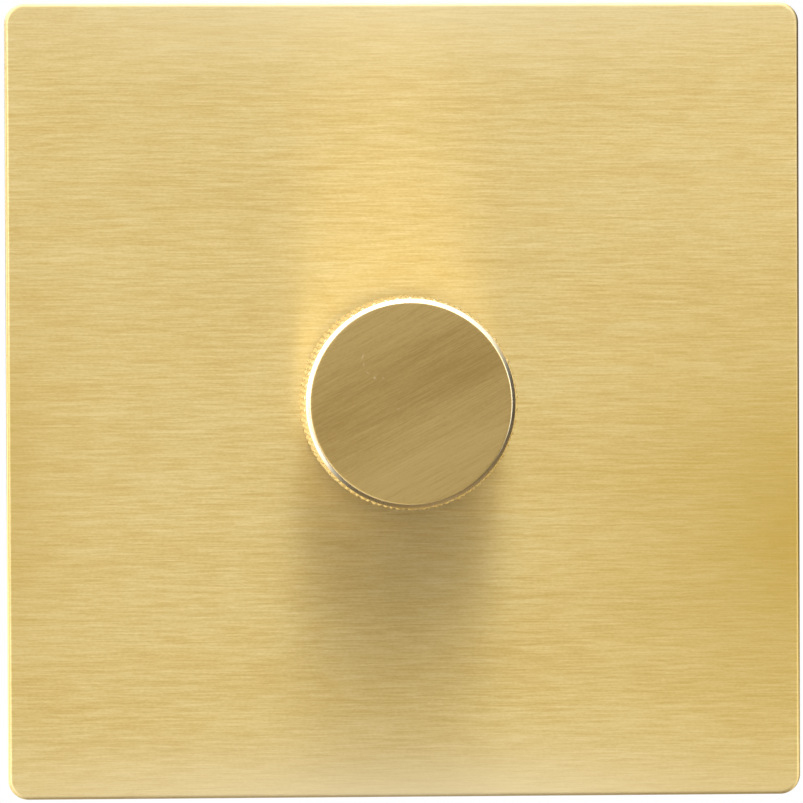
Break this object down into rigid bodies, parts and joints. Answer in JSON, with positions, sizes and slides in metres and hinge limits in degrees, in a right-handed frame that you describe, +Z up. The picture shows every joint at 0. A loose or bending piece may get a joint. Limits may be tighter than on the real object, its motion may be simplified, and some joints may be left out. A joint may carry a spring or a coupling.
{
  "type": "rotary dimmer switch",
  "caption": "Rotary dimmer switch: a square brushed brass wall plate with a diamond-knurled brass knob that turns and is pushed, on a module for a wall box.",
  "frame": {"origin": "centre of the wall plate on the wall plane", "axes": "+Z up, +Y into the wall, the knob faces -Y, +X to the right of someone who faces the plate"},
  "size_m": [0.086, 0.0461, 0.086],
  "materials": {
    "plate_brass": "brushed",
    "knob_brass": "brushed",
    "turned_brass": "satin",
    "zinc_steel": "satin",
    "spring_steel": "satin",
    "heat_sink_aluminium": "brushed",
    "black_moulding": "matte",
    "grey_moulding": "matte",
    "white_moulding": "satin",
    "wafer_board": "satin",
    "circuit_board_green": "satin",
    "carbon_ink": "matte",
    "contact_bronze": "satin",
    "ferrite": "matte",
    "enamelled_copper": "gloss",
    "film_case": "gloss",
    "can_sleeve": "gloss",
    "transistor_epoxy": "matte",
    "fuse_metal": "gloss"
  },
  "bodies": {
    "base": {"faceplate": "plate_brass", "clip_frame": "black_moulding", "mounting_yoke": "zinc_steel", "fixing_screws": "zinc_steel", "threaded_bush": "turned_brass", "bush_nut": "zinc_steel", "washer": "zinc_steel", "heat_sink": "heat_sink_aluminium", "rear_housing": "black_moulding", "case_screws": "zinc_steel", "control_case": "zinc_steel", "control_back": "grey_moulding", "resistive_track": "carbon_ink", "track_wafer": "wafer_board", "return_spring": "spring_steel", "switch_contacts": "contact_bronze", "circuit_board": "circuit_board_green", "choke_core": "ferrite", "choke_winding": "enamelled_copper", "film_capacitor": "film_case", "electrolytic_capacitor": "can_sleeve", "power_transistor_left": "transistor_epoxy", "power_transistor_right": "transistor_epoxy", "tab_screws": "zinc_steel", "fuse": "fuse_metal", "terminal_line": "turned_brass", "terminal_load": "turned_brass", "terminal_two_way": "turned_brass", "terminal_block": "grey_moulding", "terminal_earth": "turned_brass", "terminal_screws": "zinc_steel"},
    "push_carriage": {"switch_plunger": "white_moulding"},
    "turning_knob": {"knob": "knob_brass", "knob_insert": "black_moulding", "spindle": "zinc_steel", "retaining_clip": "spring_steel"},
    "rotor": {"wiper_rotor": "white_moulding", "wiper_contact": "contact_bronze"}
  },
  "joints": [
    {"name": "knob_press", "type": "slide", "parent": "base", "child": "push_carriage", "axis": [0, 1, 0], "range_m": [0, 0.001], "stiffness_N_per_m": 1500, "springref_m": -0.001, "deforming": ["return_spring"]},
    {"name": "knob_turn", "type": "hinge", "parent": "push_carriage", "child": "turning_knob", "pos_m": [0, -0.0055, 0], "axis": [0, 1, 0], "range_deg": [-150, 150]},
    {"name": "rotor_turn", "type": "hinge", "parent": "base", "child": "rotor", "pos_m": [0, 0.0064, 0], "axis": [0, 1, 0], "range_deg": [-150, 150]}
  ],
  "couplings": [
    {"joint": "rotor_turn", "follows": "knob_turn", "ratio": 1}
  ]
}
